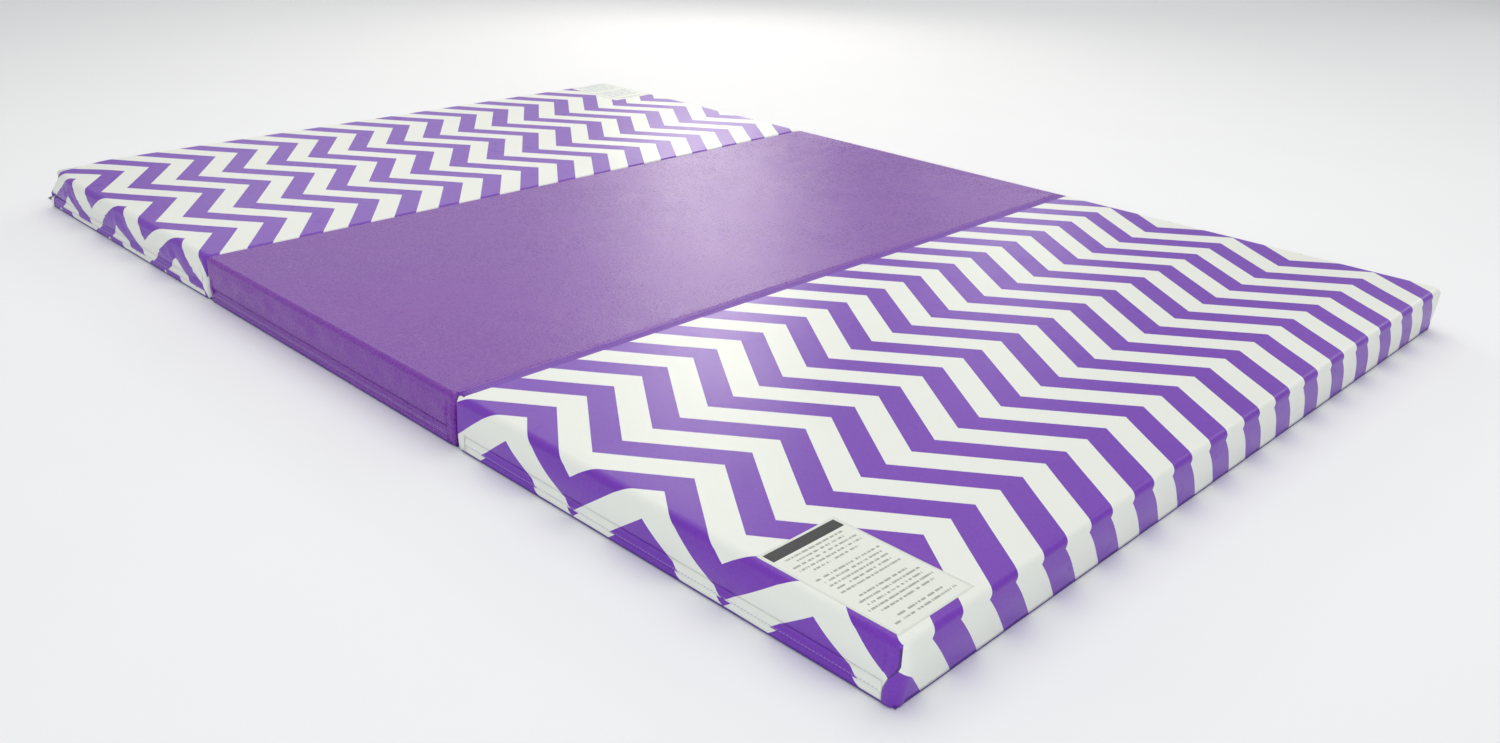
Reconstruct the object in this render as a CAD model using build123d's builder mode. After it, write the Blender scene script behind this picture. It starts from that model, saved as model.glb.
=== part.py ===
"""Three-panel folding gymnastics mat, lying open.

Frame: +X runs along the mat from the panel with the hook flap to the other end, +Y runs from the
side with the zips to the other long side, +Z is up. The origin is the centre of the middle
panel's underside. Lengths are in millimetres.
"""

import os

from build123d import *

# Overall sizes
mat_width = 1219.2
panel_pitch = 609.6
thickness = 63.5

# Coated fabric and the shape that the cushions take in it
vinyl = 0.6
edge_radius = 8.0
corner_radius = 10.0
seam_gap = 1.0

# Folding seams: the leaves of fabric that join the panels, and the room between folded faces
leaf_depth = 20.0
leaf_split = 0.3
leaf_end_inset = 12.0
underside_fold_gap = 0.3
topside_fold_gap = 0.6

# Opening for the foam: a flap hangs over the zip, and the lip of the bottom sheet stands behind it
flap_root_height = 20.0
flap_hem_height = 9.0
flap_end_inset = 14.0
flap_root_gap = 0.15
lip_height = 12.0
lip_setback = 0.8

# Zip: two tapes with half a coil each, closed by a slider that has no pull tab
zip_height = 14.0
zip_depth = 6.0
tape = 0.5
tape_stitch_height = 5.0
tape_slope = 3.0
coil_half_width = 2.55
coil_depth = 1.3
coil_split = 0.9
zip_end_inset = 20.0
stop_length = 2.5
slider_length = 9.0
slider_plate = 1.0
slider_play = 0.3
slider_neck = 0.5
slider_neck_length = 2.5
bridge_length = 6.0
bridge_height = 2.0
bridge_bar = 0.8
recess_height = 30.0
recess_depth = 10.0

# Hook and loop fastening between mats
hook_reach = 48.0
hook_backing = 1.0
hook_tape_depth = 1.2
hook_tape_border = 3.0
hook_side_inset = 10.0
hook_corner_radius = 6.0
hook_hinge_offset = 1.5
hook_root_gap = 1.2
hook_tail_gap = 0.2
loop_width = 50.0
loop_depth = 1.8
loop_end_inset = 8.0
loop_side_inset = 30.0
loop_play = 0.25

# Labels
label_length = 155.0
label_width = 100.0
label_depth = 0.25
label_corner_radius = 3.0

os.makedirs("parts", exist_ok=True)

near_side = -mat_width / 2
mat_length = 3 * panel_pitch
mat_end = mat_length / 2
bottom_seam = -panel_pitch / 2
top_seam = panel_pitch / 2
wall_face = near_side + vinyl
coil_plane = near_side + zip_depth
lip_y = near_side + lip_setback
slider_inside = coil_split / 2 + coil_half_width + slider_play
slider_half = slider_inside + slider_plate
tape_bend = slider_half + slider_play


def save(piece, node):
    """Labels a finished piece and writes it as its own node."""
    piece.label = node
    export_step(piece, f"parts/{node}.step")


def panel_block(x_low, x_high, inset, z_low, z_high, round_low, round_high):
    """A panel's rounded block, set in from the panel's faces by inset on each side."""
    with BuildPart() as block:
        with BuildSketch(Plane(((x_low + x_high) / 2, 0, z_low))):
            Rectangle(x_high - x_low - 2 * inset, mat_width - 2 * inset)
        extrude(amount=z_high - z_low)
        if round_low:
            fillet(block.edges().filter_by(Axis.Z).group_by(Axis.X)[0], corner_radius - inset)
        if round_high:
            fillet(block.edges().filter_by(Axis.Z).group_by(Axis.X)[-1], corner_radius - inset)
        rim = block.faces().sort_by(Axis.Z)[-1].edges()
        rim_low = x_low + (0 if round_low else 2 * vinyl)
        rim_high = x_high - (0 if round_high else 2 * vinyl)
        fillet(rim.filter_by_position(Axis.X, rim_low, rim_high), edge_radius - inset)
    return block.part


def strip(x_low, x_high, y_low, y_high, z_low, z_high):
    """A plain strip between two corners."""
    with BuildPart() as piece:
        with BuildSketch(Plane(((x_low + x_high) / 2, (y_low + y_high) / 2, z_low))):
            Rectangle(x_high - x_low, y_high - y_low)
        extrude(amount=z_high - z_low)
    return piece.part


def rounded_strip(x_low, x_high, y_low, y_high, z_low, depth, radius):
    """A strip of the given depth with rounded corners in plan."""
    with BuildPart() as piece:
        with BuildSketch(Plane(((x_low + x_high) / 2, (y_low + y_high) / 2, z_low))):
            RectangleRounded(x_high - x_low, y_high - y_low, radius)
        extrude(amount=depth)
    return piece.part


# The leaves of the two folding seams lie inside the covers and meet at the seam. Those of the
# bottom seam lie on the bottom sheets, and those of the top seam lie under the top sheets.
leaf_y = mat_width / 2 - leaf_end_inset
bottom_leaf_z = (vinyl, 2 * vinyl)
top_leaf_z = (thickness - 2 * vinyl, thickness - vinyl)
leaves = {
    "bottom_hinge_left_leaf": (bottom_seam - leaf_depth, bottom_seam - leaf_split / 2, bottom_leaf_z),
    "bottom_hinge_middle_leaf": (bottom_seam + leaf_split / 2, bottom_seam + leaf_depth, bottom_leaf_z),
    "top_hinge_middle_leaf": (top_seam - leaf_depth, top_seam - leaf_split / 2, top_leaf_z),
    "top_hinge_right_leaf": (top_seam + leaf_split / 2, top_seam + leaf_depth, top_leaf_z),
}
leaf_parts = {
    node: strip(x_low, x_high, -leaf_y, leaf_y, *z_span)
    for node, (x_low, x_high, z_span) in leaves.items()
}
for node, leaf in leaf_parts.items():
    save(leaf, node)

# The loop strip shows in a window of the right panel's underside and beds into its foam
loop_x = (mat_end - loop_end_inset - loop_width, mat_end - loop_end_inset)
loop_y = mat_width / 2 - loop_side_inset
loop_strip = strip(*loop_x, -loop_y, loop_y, 0, loop_depth)
loop_window = strip(
    loop_x[0] - loop_play, loop_x[1] + loop_play, -loop_y - loop_play, loop_y + loop_play, 0, loop_depth
)
save(loop_strip, "loop_strip")

# name, place along the mat, rounded at its low-X side, rounded at its high-X side
panels = [
    ("left", -1, True, True),
    ("middle", 0, True, False),
    ("right", 1, False, True),
]

for name, place, round_low, round_high in panels:
    x_low = (place - 0.5) * panel_pitch + (seam_gap if place > -1 else 0)
    x_high = (place + 0.5) * panel_pitch - (seam_gap if place < 1 else 0)
    rounds = (round_low, round_high)
    flap_x = (x_low + flap_end_inset, x_high - flap_end_inset)
    zip_x = (x_low + zip_end_inset, x_high - zip_end_inset)
    own_leaves = [part for node, part in leaf_parts.items() if f"hinge_{name}" in node]

    # Foam cushion, relieved for the seam leaves, the zip and the loop strip
    with BuildPart() as foam_core:
        add(panel_block(x_low, x_high, vinyl, vinyl, thickness - vinyl, *rounds))
        for leaf in own_leaves:
            add(leaf, mode=Mode.SUBTRACT)
        add(strip(*flap_x, near_side, near_side + recess_depth, 0, recess_height), mode=Mode.SUBTRACT)
        if name == "right":
            add(loop_window, mode=Mode.SUBTRACT)
    save(foam_core.part, f"{name}_foam_core")

    # Top cover: the top sheet and four walls, cut away on the zip side below the flap's root
    with BuildPart() as top_cover:
        add(panel_block(x_low, x_high, 0, vinyl, thickness, *rounds))
        add(panel_block(x_low, x_high, vinyl, vinyl, thickness - vinyl, *rounds), mode=Mode.SUBTRACT)
        for leaf in own_leaves:
            add(leaf, mode=Mode.SUBTRACT)
        add(strip(*flap_x, near_side, wall_face, vinyl, flap_root_height), mode=Mode.SUBTRACT)
    save(top_cover.part, f"{name}_top_cover")

    # Bottom cover: a flat sheet whose zip-side edge turns up into a lip behind the flap.
    # The left one runs on past its end as the tail that the hook flap is sewn to.
    with BuildPart() as bottom_cover:
        with BuildSketch(Plane(((x_low + x_high) / 2, 0, 0))) as sheet_outline:
            Rectangle(x_high - x_low, mat_width)
            corners = sheet_outline.vertices().group_by(Axis.X)
            if round_low:
                fillet(corners[0], corner_radius)
            if round_high:
                fillet(corners[-1], corner_radius)
        extrude(amount=vinyl)
        add(strip(*flap_x, lip_y, lip_y + vinyl, vinyl, lip_height))
        if name == "left":
            tail_low = -mat_end - hook_hinge_offset + hook_tail_gap
            tail_y = mat_width / 2 - corner_radius
            add(strip(tail_low, -mat_end, -tail_y, tail_y, 0, vinyl))
        if name == "right":
            add(loop_window, mode=Mode.SUBTRACT)
    save(bottom_cover.part, f"{name}_bottom_cover")

    # Flap: a strip of the same fabric that hangs from the wall and hides the zip
    flap = strip(*flap_x, near_side, wall_face, flap_hem_height, flap_root_height - flap_root_gap)
    save(flap, f"{name}_hem_flap")

    # Upper zip tape: sewn inside the wall above the flap, then set back to the coil's plane
    with BuildPart() as upper_tape:
        with BuildSketch(Plane.YZ.offset(zip_x[0])):
            with BuildLine():
                upper_stitch = wall_face + tape / 2
                upper_bend = zip_height + tape_bend
                Polyline(
                    (upper_stitch, upper_bend + tape_slope + tape_stitch_height),
                    (upper_stitch, upper_bend + tape_slope),
                    (coil_plane + tape / 2, upper_bend),
                    (coil_plane + tape / 2, zip_height + coil_split / 2),
                )
            trace(line_width=tape)
        extrude(amount=zip_x[1] - zip_x[0])
    save(upper_tape.part, f"{name}_zip_upper_tape")

    # Lower zip tape: sewn to the inside of the bottom sheet's lip
    with BuildPart() as lower_tape:
        with BuildSketch(Plane.YZ.offset(zip_x[0])):
            with BuildLine():
                lower_stitch = lip_y + vinyl + tape / 2
                lower_bend = zip_height - tape_bend
                Polyline(
                    (lower_stitch, lower_bend - tape_slope - tape_stitch_height),
                    (lower_stitch, lower_bend - tape_slope),
                    (coil_plane + tape / 2, lower_bend),
                    (coil_plane + tape / 2, zip_height - coil_split / 2),
                )
            trace(line_width=tape)
        extrude(amount=zip_x[1] - zip_x[0])
    save(lower_tape.part, f"{name}_zip_lower_tape")

    # Coil: one half on each tape, with room between them for the slider's neck
    coil_x = (zip_x[0] + stop_length, zip_x[1] - stop_length)
    with BuildPart() as coil:
        with BuildSketch(Plane.YZ.offset(coil_x[0])):
            coil_centre = coil_split / 2 + coil_half_width / 2
            with Locations((coil_plane - coil_depth / 2, zip_height)):
                with GridLocations(1, 2 * coil_centre, 1, 2):
                    RectangleRounded(coil_depth, coil_half_width, coil_depth / 3)
        extrude(amount=coil_x[1] - coil_x[0])
    save(coil.part, f"{name}_zip_coil")

    # Stops: a block across both halves at each end of the coil
    with BuildPart() as stops:
        with BuildSketch(Plane.YZ.offset(zip_x[0])):
            with Locations((coil_plane - coil_depth / 2, zip_height)):
                Rectangle(coil_depth, coil_split + 2 * coil_half_width)
        extrude(amount=stop_length)
        with BuildSketch(Plane.YZ.offset(coil_x[1])):
            with Locations((coil_plane - coil_depth / 2, zip_height)):
                Rectangle(coil_depth, coil_split + 2 * coil_half_width)
        extrude(amount=stop_length)
    save(stops.part, f"{name}_zip_stops")

    # Slider: two plates joined by a neck, side walls that hold the coil in, and a low bridge
    # that a bent wire hooks through, because it has no pull tab
    slider_end = coil_x[1] - slider_play
    outer_plate = coil_plane - coil_depth - slider_play
    inner_plate = coil_plane + tape + slider_play
    with BuildPart() as slider:
        with BuildSketch(Plane.YZ.offset(slider_end - slider_length)):
            for face in (outer_plate - slider_plate / 2, inner_plate + slider_plate / 2):
                with Locations((face, zip_height)):
                    Rectangle(slider_plate, 2 * slider_half)
            with Locations((outer_plate + coil_depth / 2, zip_height)):
                with GridLocations(1, 2 * slider_inside + slider_plate, 1, 2):
                    Rectangle(coil_depth, slider_plate)
        extrude(amount=slider_length)
        with BuildSketch(Plane.YZ.offset(slider_end - slider_neck_length)):
            with Locations((outer_plate, zip_height)):
                Rectangle(inner_plate - outer_plate, slider_neck, align=(Align.MIN, Align.CENTER))
        extrude(amount=slider_neck_length)
        bridge_face = Plane((slider_end - slider_length / 2, outer_plate - slider_plate, 0))
        with BuildSketch(bridge_face.offset(zip_height - slider_plate)):
            Rectangle(bridge_length, bridge_height, align=(Align.CENTER, Align.MAX))
            Rectangle(
                bridge_length - 2 * bridge_bar,
                bridge_height - bridge_bar,
                align=(Align.CENTER, Align.MAX),
                mode=Mode.SUBTRACT,
            )
        extrude(amount=2 * slider_plate)
    save(slider.part, f"{name}_zip_slider")

# Hook flap: a stiff backing on the floor beyond the left end, with hook tape sewn on top
hook_hinge_x = -mat_end - hook_hinge_offset
hook_x = (hook_hinge_x - hook_root_gap - hook_reach, hook_hinge_x - hook_root_gap)
hook_y = mat_width / 2 - hook_side_inset
hook_flap = rounded_strip(*hook_x, -hook_y, hook_y, 0, hook_backing, hook_corner_radius)
save(hook_flap, "hook_flap")
hook_tape = rounded_strip(
    hook_x[0] + hook_tape_border,
    hook_x[1] - hook_tape_border,
    -hook_y + hook_tape_border,
    hook_y - hook_tape_border,
    hook_backing,
    hook_tape_depth,
    hook_corner_radius - hook_tape_border,
)
save(hook_tape, "hook_tape")

# Labels: one at the right end's zip-side corner, one at the left end's far corner
label_x = mat_end - edge_radius
label_y = mat_width / 2 - edge_radius
safety_label = rounded_strip(
    label_x - label_length, label_x, -label_y, -label_y + label_width, thickness, label_depth, label_corner_radius
)
save(safety_label, "safety_label")
corner_label = rounded_strip(
    -label_x, -label_x + label_length, label_y - label_width, label_y, thickness, label_depth, label_corner_radius
)
save(corner_label, "corner_label")

slider_travel = coil_x[1] - coil_x[0] - slider_length - 2 * slider_play
print("bottom seam axis", bottom_seam, -underside_fold_gap / 2)
print("top seam axis", top_seam, thickness + topside_fold_gap / 2)
print("hook flap axis", hook_hinge_x, (hook_backing + hook_tape_depth) / 2)
print("hem flap axis", near_side, flap_root_height)
print("shortest slider travel", slider_travel)
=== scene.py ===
import math

import bmesh
import bpy
import numpy as np
from mathutils import Matrix, Quaternion, Vector, noise


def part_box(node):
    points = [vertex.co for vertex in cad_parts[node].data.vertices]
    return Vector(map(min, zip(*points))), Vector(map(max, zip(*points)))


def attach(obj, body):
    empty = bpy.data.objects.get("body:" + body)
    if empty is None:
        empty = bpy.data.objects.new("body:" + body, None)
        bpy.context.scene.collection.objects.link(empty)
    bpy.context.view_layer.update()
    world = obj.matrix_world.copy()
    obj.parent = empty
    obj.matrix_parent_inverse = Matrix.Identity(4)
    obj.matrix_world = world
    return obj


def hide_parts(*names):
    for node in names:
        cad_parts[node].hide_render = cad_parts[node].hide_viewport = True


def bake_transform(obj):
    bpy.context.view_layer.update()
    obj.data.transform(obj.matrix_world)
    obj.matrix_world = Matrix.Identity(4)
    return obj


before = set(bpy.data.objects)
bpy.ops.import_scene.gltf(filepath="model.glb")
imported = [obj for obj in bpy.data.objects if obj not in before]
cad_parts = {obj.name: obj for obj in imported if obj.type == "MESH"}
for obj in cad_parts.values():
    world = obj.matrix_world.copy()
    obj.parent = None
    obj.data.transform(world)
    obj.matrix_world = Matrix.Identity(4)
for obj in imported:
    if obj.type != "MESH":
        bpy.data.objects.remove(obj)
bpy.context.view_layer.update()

scene = bpy.context.scene


# ------------------------------ studio
# A pale floor in even, soft light: a large box overhead, a cool one in front, and four smaller ones
# beyond and beside the mat, of which the low one behind lays a sheen on the middle panel. The camera
# looks down on the mat from beyond its near right corner.

def place_camera(location, look, roll, lens):
    data = bpy.data.cameras.new("camera")
    data.lens = lens
    data.sensor_width = 36.0
    data.clip_end = 100.0
    made = bpy.data.objects.new("camera", data)
    turn = Vector(look).to_track_quat("-Z", "Y") @ Quaternion((0, 0, 1), math.radians(roll))
    made.matrix_world = Matrix.Translation(location) @ turn.to_matrix().to_4x4()
    scene.collection.objects.link(made)
    scene.camera = made


def softbox(name, location, target, size, power, colour):
    data = bpy.data.lights.new(name, "AREA")
    data.shape = "RECTANGLE"
    data.size, data.size_y = size
    data.energy = power
    data.color = colour
    made = bpy.data.objects.new(name, data)
    turn = (Vector(target) - Vector(location)).to_track_quat("-Z", "Y")
    made.matrix_world = Matrix.Translation(location) @ turn.to_matrix().to_4x4()
    scene.collection.objects.link(made)


class Wire:
    """An output of a shader node. Sums, products and comparisons of wires add Math nodes."""

    def __init__(self, tree, socket=None):
        self.tree = tree
        self.socket = socket

    def node(self, kind, settings=None, links=None, out=0):
        made = self.tree.nodes.new("ShaderNode" + kind)
        for name, value in (settings or {}).items():
            setattr(made, name, value)
        for name, value in (links or {}).items():
            plug = made.inputs[name]
            if isinstance(value, Wire):
                self.tree.links.new(value.socket, plug)
            else:
                plug.default_value = value
        return Wire(self.tree, made.outputs[out])

    def math(self, operation, *others):
        return self.node("Math", {"operation": operation}, dict(enumerate((self, *others))))

    def __add__(self, other):
        return self.math("ADD", other)

    def __mul__(self, other):
        return self.math("MULTIPLY", other)

    def __sub__(self, other):
        return self.math("SUBTRACT", other)

    def __rsub__(self, other):
        return self.node("Math", {"operation": "SUBTRACT"}, {0: other, 1: self})

    def __lt__(self, other):
        return self.math("LESS_THAN", other)

    def __gt__(self, other):
        return self.math("GREATER_THAN", other)

    __radd__ = __add__
    __rmul__ = __mul__

    def fade(self, low, high, start=0.0, end=1.0):
        """Goes smoothly from start, at low, to end, at high."""
        return self.node("MapRange", {"interpolation_type": "SMOOTHSTEP"},
                         {0: self, 1: low, 2: high, 3: start, 4: end})

    def blend(self, first, second):
        """The first colour where this is 0, the second where it is 1."""
        return self.node("Mix", {"data_type": "RGBA"}, {0: self, 6: first, 7: second}, 2)

    def part(self, axis):
        return self.node("SeparateXYZ", links={0: self}, out=axis)

    def mottle(self, scale, detail, distortion=0.0, roughness=0.5):
        """Noise over this place."""
        return self.node("TexNoise", links={"Vector": self, "Scale": scale, "Detail": detail,
                                            "Distortion": distortion, "Roughness": roughness})

    def bump(self, strength, distance):
        return self.node("Bump", links={"Strength": strength, "Distance": distance, "Height": self})


def begin(name):
    """A new material, and its wires: a free one, and the place on the piece."""
    made = bpy.data.materials.new(name)
    made.use_nodes = True
    wire = Wire(made.node_tree)
    return made, wire, wire.node("TexCoord", out="Object")


def shade(made, sockets):
    shader = made.node_tree.nodes["Principled BSDF"]
    for name, value in sockets.items():
        if isinstance(value, Wire):
            made.node_tree.links.new(value.socket, shader.inputs[name])
        else:
            shader.inputs[name].default_value = value
    return made


def floor_paint():
    made, wire, place = begin("floor_paint")
    grey = place.mottle(3.0, 4.0).blend((0.94, 0.94, 0.95, 1), (0.97, 0.97, 0.97, 1))
    return shade(made, {"Base Color": grey, "Roughness": 0.7, "Specular IOR Level": 0.2})


def make_floor(half, drop):
    mesh = bpy.data.meshes.new("floor")
    corners = [(-half, -half, -drop), (half, -half, -drop), (half, half, -drop), (-half, half, -drop)]
    mesh.from_pydata(corners, [], [(0, 1, 2, 3)])
    mesh.materials.append(floor_paint())
    made = bpy.data.objects.new("floor", mesh)
    scene.collection.objects.link(made)


place_camera(location=(1.383, -1.2755, 0.6441), look=(-0.6331, 0.6604, -0.4039),
             roll=1.77, lens=30.33)
make_floor(half=30.0, drop=0.0006)
warm_white = (1.0, 0.985, 0.95)
softbox("overhead", (-0.1, 0.3, 2.6), (0, 0, 0), (3.4, 3.0), 36.0, warm_white)
softbox("back_wall", (-4.5, 2.6, 2.3), (0.0, 0.0, 0.1), (3.2, 2.0), 15.0, warm_white)
softbox("window", (-2.42, 4.73, 1.6), (0.25, 0.5, 0.06), (0.8, 1.2), 5.0, warm_white)
softbox("behind", (-1.87, 1.90, 1.03), (0.16, -0.08, 0.06), (0.50, 0.30), 6.5, (1.0, 0.96, 0.86))
softbox("beside", (0.9, 4.2, 2.0), (0.9, 0.0, 0.1), (1.0, 2.2), 10.0, (1.0, 0.99, 0.98))
softbox("front", (3.2, -3.6, 2.1), (0.3, -0.3, 0.03), (4.0, 2.4), 60.0, (0.87, 0.94, 1.0))
world = bpy.data.worlds.new("studio")
world.use_nodes = True
backdrop = world.node_tree.nodes["Background"]
backdrop.inputs["Color"].default_value = (0.97, 0.98, 1.0, 1.0)
backdrop.inputs["Strength"].default_value = 0.50
scene.world = world
scene.view_settings.view_transform = "Standard"


# ------------------------------ foam cores
# One slab of cross-linked polyethylene foam fills each panel. It is cut from a log, so its faces
# show small closed cells; its edges are soft from handling. It is stuffed in through the zip.

def mesh_piece(name, points, faces, material, maps=None, closed=True):
    """A smooth mesh object. maps gives each vertex its place in each UV map."""
    mesh = bpy.data.meshes.new(name)
    mesh.from_pydata([tuple(p) for p in points], [], faces)
    mesh.polygons.foreach_set("use_smooth", [True] * len(mesh.polygons))
    corner = np.empty(len(mesh.loops), int)
    mesh.loops.foreach_get("vertex_index", corner)
    for key, coords in (maps or {}).items():
        layer = mesh.uv_layers.new(name=key)
        layer.data.foreach_set("uv", np.asarray(coords)[corner].astype(np.float32).ravel())
    if closed:
        work = bmesh.new()
        work.from_mesh(mesh)
        bmesh.ops.recalc_face_normals(work, faces=work.faces)
        work.to_mesh(mesh)
        work.free()
    mesh.materials.append(material)
    made = bpy.data.objects.new(name, mesh)
    scene.collection.objects.link(made)
    return made


def foam_material():
    made, wire, place = begin("closed_cell_foam")
    cells = wire.node("TexVoronoi", links={"Vector": place, "Scale": 620.0}, out="Distance")
    cloud = place.mottle(9.0, 3.0)
    colour = (cells * 0.6 + cloud * 0.5).blend((0.62, 0.63, 0.64, 1), (0.80, 0.80, 0.79, 1))
    return shade(made, {"Base Color": colour, "Roughness": cells.fade(0, 0.6, 0.8, 0.95),
                        "Normal": cells.bump(0.6, 0.0004)})


foam_inset = 0.0040
foam_top_inset = 0.0026
foam_edge = 0.006
zip_room = 0.010           # left free for the zip, along the near side
foam_finish = foam_material()
for panel in ("left", "middle", "right"):
    low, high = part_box(f"{panel}_foam_core")
    work = bmesh.new()
    bmesh.ops.create_cube(work, size=1.0)
    span = high - low - Vector((2 * foam_inset, 2 * foam_inset + zip_room, foam_top_inset))
    middle = Vector(((low.x + high.x) / 2, (low.y + high.y + zip_room) / 2, low.z + span.z / 2))
    bmesh.ops.transform(work, verts=work.verts, matrix=Matrix.LocRotScale(middle, None, span))
    bmesh.ops.bevel(work, geom=work.edges[:], offset=foam_edge, segments=4, profile=0.5, affect="EDGES")
    mesh = bpy.data.meshes.new(f"{panel}_foam")
    work.to_mesh(mesh)
    work.free()
    mesh.polygons.foreach_set("use_smooth", [True] * len(mesh.polygons))
    mesh.materials.append(foam_finish)
    foam = bpy.data.objects.new(f"{panel}_foam", mesh)
    scene.collection.objects.link(foam)
    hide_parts(f"{panel}_foam_core")
    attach(foam, f"{panel}_panel")


# ------------------------------ top covers
# Each panel's top and walls are one sheet of coated vinyl, sewn into a box at the corners and
# pulled over the foam. The outer panels have a printed zigzag; the middle one is plain. The
# end's vinyl is folded round each outer corner, and a slanted dart holds it to the long side.

near_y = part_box("right_top_cover")[0].y
far_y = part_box("right_top_cover")[1].y
top_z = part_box("middle_top_cover")[1].z
top_seam_x = (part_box("middle_top_cover")[1].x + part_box("right_top_cover")[0].x) / 2
zig_rise = 0.497           # how far a stripe climbs from the middle of a zig, in pitches, each way
white_share = 0.514        # the white part of a stripe's pitch
no_dart = -0.01            # marks cloth that is away from any dart
painted_shadow_width = 0.0009        # width of the painted shadow, a dark line beside a dart's folded edge
painted_shadow_start = 0.006          # how far below the top the painted shadow starts
cloth_origin = {"left": (-0.4020, -0.6326), "middle": (0.0, 0.0), "right": (0.4005, -0.6628)}
cloth_pitch = {"left": (0.1043, 0.0782), "middle": (1.0, 1.0), "right": (0.1065, 0.0788)}


def print_map(points, panel):
    """Places on the flat cloth, in zigs across the panel and in stripes along it."""
    return (np.asarray(points) - cloth_origin[panel]) / cloth_pitch[panel]


def vinyl(name, purple, bright, printed=False, roughness=0.34, grain=1.15, emboss=0.00010,
          speck=0.35):
    """Coated vinyl: fine leather grain under a soft gloss, mottled colour and light scuffs."""
    made, wire, place = begin(name)
    pits = wire.node("TexVoronoi", {"feature": "SMOOTH_F1"},
                     {"Vector": place, "Scale": 1000 / grain, "Smoothness": 0.4}, "Distance")
    dust = place.mottle(1700.0, 2.0)
    cloud = place.mottle(7.0, 4.0)
    scuff = place.mottle(38.0, 6.0, distortion=1.5)
    fleck = place.mottle(330.0, 3.0, roughness=0.7)
    tone = pits * 0.35 + cloud * 0.7 - 0.25 + speck * (fleck.fade(0.35, 0.68) - 0.4)
    colour = tone.blend((*purple, 1), (*bright, 1))
    gloss = (roughness + 0.10 * (cloud - 0.5) + scuff.fade(0.55, 0.75, 0.0, 0.09)
             + speck * 0.3 * (fleck - 0.5))
    if printed:
        flat = wire.node("UVMap", {"uv_map": "cloth"})
        wrapped = wire.node("UVMap", {"uv_map": "wrapped"})
        dart = wire.node("Attribute", {"attribute_name": "dart"}, out="Fac")
        cloth = wire.node("Mix", {"data_type": "VECTOR"}, {0: dart > 0.0, 4: flat, 5: wrapped}, 1)
        across = cloth.part("X")
        along = cloth.part("Y")
        zig = 1.0 - 2.0 * across.math("PINGPONG", 1.0)
        stripe = (along - zig_rise * zig).math("FRACT")
        ink = (stripe > white_share).math("MAXIMUM", (stripe < 0.0))
        pale = (dust * 0.5 + cloud * 0.5).blend((0.82, 0.84, 0.76, 1), (0.90, 0.92, 0.85, 1))
        height = place.part("Z")
        # Painted shadow: a dark line is painted into the colour beside each dart's folded edge, from a
        # little below the top downwards.
        painted_dart_shadow = (dart > -painted_shadow_width) * (dart < 0.0) * (height < top_z - painted_shadow_start) * 0.75
        colour = painted_dart_shadow.blend(ink.blend(pale, colour), (0.05, 0.012, 0.13, 1))
        gloss = gloss + (1.0 - ink) * 0.06
    height = pits * 0.7 + dust * 0.5 + fleck * (2.0 * speck)
    return shade(made, {"Base Color": colour, "Roughness": gloss, "Normal": height.bump(0.55, emboss),
                        "IOR": 1.5, "Coat Weight": 0.06, "Coat Roughness": 0.28})


def spaced(low, high, band, fine, coarse):
    """Places along one side of a sheet: fine steps near both ends, coarse ones between."""
    ends = np.linspace(0.0, band, round(band / fine) + 1)
    middle = np.linspace(low + band, high - band, round((high - low - 2 * band) / coarse) + 1)
    return np.concatenate([low + ends[:-1], middle, high - ends[-2::-1]])


def smooth(t):
    t = np.clip(t, 0.0, 1.0)
    return t * t * (3 - 2 * t)


def swell(x, y, size, seed):
    """Smooth random hills and hollows about size wide, from about -1 to 1."""
    spots = zip(np.ravel(x), np.ravel(y))
    return np.array([noise.noise((a / size, b / size, seed)) for a, b in spots])


flap_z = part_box("right_hem_flap")[1].z + 0.00015
hem_seed = {"left": 3.1, "middle": 7.7, "right": 12.3}
web_rebate = 0.0008        # how far the top sinks where the seam's web is stitched over it
web_reach = 0.0095


def near_folds(panel, x, depth):
    """How far the near wall stands out, beyond its plain bulge, at a depth below the top."""
    seed = hem_seed[panel]
    wide = swell(x, depth, 0.075, seed)
    if panel == "left":
        slant = swell(x - 0.9 * depth, depth * 0.25, 0.013, seed + 1)
        return 0.0014 * wide + 0.0026 * (0.8 - 2 * np.abs(slant))
    if panel == "middle":
        patch = swell(x + 0.6 * depth, depth * 1.6, 0.026, seed + 1)
        ridge = swell(x - 0.4 * depth, depth * 0.5, 0.014, seed + 2)
        return 0.0012 * wide + 0.0026 * patch + 0.0012 * (0.7 - 2 * np.abs(ridge))
    return 0.0009 * wide + 0.0004 * swell(x + 0.4 * depth, depth, 0.022, seed + 1)


def top_dip(panel, x, y, low, high):
    """How far the top lies below its full height: slack between foam and vinyl, and folds."""
    x, y = np.ravel(x), np.ravel(y)
    edge = np.minimum(np.minimum(x - low.x, high.x - x), np.minimum(y - low.y, high.y - y))
    dip = 0.00035 * (1 + swell(x, y, 0.16, hem_seed[panel] + 20)) * smooth((edge - 0.012) / 0.05)
    if panel == "middle":
        reach = smooth((y - high.y + 0.34) / 0.30) * smooth((high.y - 0.004 - y) / 0.03)
        group = np.exp(-((x + 0.16) / 0.07) ** 2) + np.exp(-((x - 0.15) / 0.06) ** 2)
        fan = swell(x * (1 + 1.6 * (high.y - y)), (high.y - y) * 0.22, 0.017, 31.0)
        dip += 0.0013 * reach * (0.35 + 1.5 * group) * (0.6 + fan)
        dip += 0.00035 * smooth(edge / 0.05) * (1 + swell(x + 0.5 * y, y, 0.05, 33.0))
    if panel == "left":
        crumple = swell(x + 0.8 * y, y * 0.4, 0.03, 41.0) * smooth((0.25 - np.abs(high.x - x)) / 0.2)
        dip += 0.00045 * smooth(edge / 0.03) * (0.8 + crumple)
    if panel != "left":
        seam = np.abs(x - top_seam_x)
        dip += web_rebate * smooth((web_reach - seam) / 0.0025)
    return dip


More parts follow.
